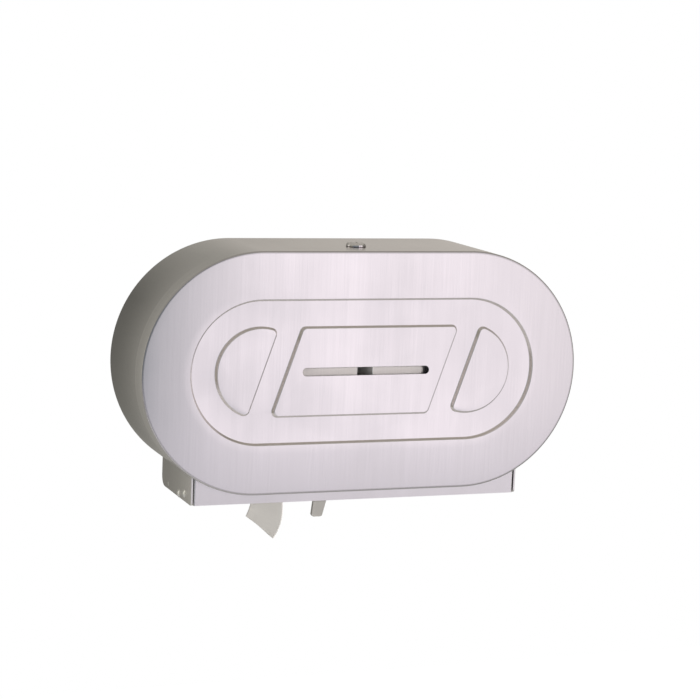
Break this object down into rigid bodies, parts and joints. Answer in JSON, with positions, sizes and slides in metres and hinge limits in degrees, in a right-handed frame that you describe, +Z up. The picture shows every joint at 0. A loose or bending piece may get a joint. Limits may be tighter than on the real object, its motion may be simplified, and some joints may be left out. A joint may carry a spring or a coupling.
{
  "type": "jumbo toilet roll dispenser",
  "caption": "Wall-mounted stainless twin jumbo toilet roll dispenser with a hinged lockable cover, view slot, spindles and a sliding shutter.",
  "frame": {"origin": "centre of the stadium-shaped cover's outline, on the wall plane at the back of the back plate", "axes": "+X along the wall to the viewer's right, +Y into the wall, +Z up"},
  "size_m": [0.529, 0.135, 0.3361],
  "materials": {
    "cover_steel": "satin stainless steel",
    "base_steel": "satin stainless steel",
    "plate_steel": "mill finish stainless steel",
    "rail_steel": "bright stainless steel",
    "spindle_steel": "turned steel",
    "spring_steel": "spring steel",
    "rivet_steel": "bright steel",
    "lock_chrome": "polished chrome",
    "nylon": "natural nylon",
    "hub_plastic": "black moulded plastic",
    "tab_plastic": "grey moulded plastic",
    "tissue": "soft tissue paper",
    "cardboard": "plain cardboard"
  },
  "bodies": {
    "cabinet": {"back_plate": "plate_steel", "base_frame": "base_steel", "front_rail": "rail_steel", "rear_rail": "rail_steel", "base_rivets": "rivet_steel", "left_spindle": "spindle_steel", "right_spindle": "spindle_steel", "spindle_rivets": "rivet_steel", "left_retainer": "spring_steel", "right_retainer": "spring_steel", "latch_keeper": "rail_steel", "keeper_rivets": "rivet_steel", "left_hinge_pin": "rivet_steel", "right_hinge_pin": "rivet_steel", "hinge_washers": "nylon", "paper_tail": "tissue"},
    "cover": {"front_cover": "cover_steel", "left_side_plate": "cover_steel", "right_side_plate": "cover_steel", "side_glides": "nylon", "side_rivets": "rivet_steel", "lock_body": "lock_chrome", "lock_washer": "rivet_steel", "lock_nut": "rivet_steel"},
    "lock_rotor": {"lock_plug": "lock_chrome", "lock_cam": "rail_steel", "cam_screw": "rivet_steel"},
    "left_roll": {"left_paper_roll": "tissue", "left_core": "cardboard", "left_hub": "hub_plastic", "left_hub_cap": "hub_plastic"},
    "right_roll": {"right_paper_roll": "tissue", "right_core": "cardboard", "right_hub": "hub_plastic", "right_hub_cap": "hub_plastic"},
    "shutter": {"shutter_panel": "rail_steel", "left_tear_strip": "spring_steel", "right_tear_strip": "spring_steel", "finger_tab": "tab_plastic", "tab_rivets": "rivet_steel"}
  },
  "joints": [
    {"name": "cover_swing", "type": "hinge", "parent": "cabinet", "child": "cover", "pos_m": [0, -0.032, -0.144], "axis": [1, 0, 0], "range_deg": [0, 105]},
    {"name": "lock_turn", "type": "hinge", "parent": "cover", "child": "lock_rotor", "pos_m": [0, -0.085, 0.13], "axis": [0, 0, -1], "range_deg": [0, 90]},
    {"name": "left_roll_spin", "type": "hinge", "parent": "cabinet", "child": "left_roll", "pos_m": [-0.126, -0.065, 0], "axis": [0, -1, 0], "continuous": true},
    {"name": "right_roll_spin", "type": "hinge", "parent": "cabinet", "child": "right_roll", "pos_m": [0.126, -0.065, 0], "axis": [0, -1, 0], "continuous": true},
    {"name": "shutter_slide", "type": "slide", "parent": "cabinet", "child": "shutter", "axis": [1, 0, 0], "range_m": [-0.1255, 0], "deforming": ["paper_tail"]}
  ]
}
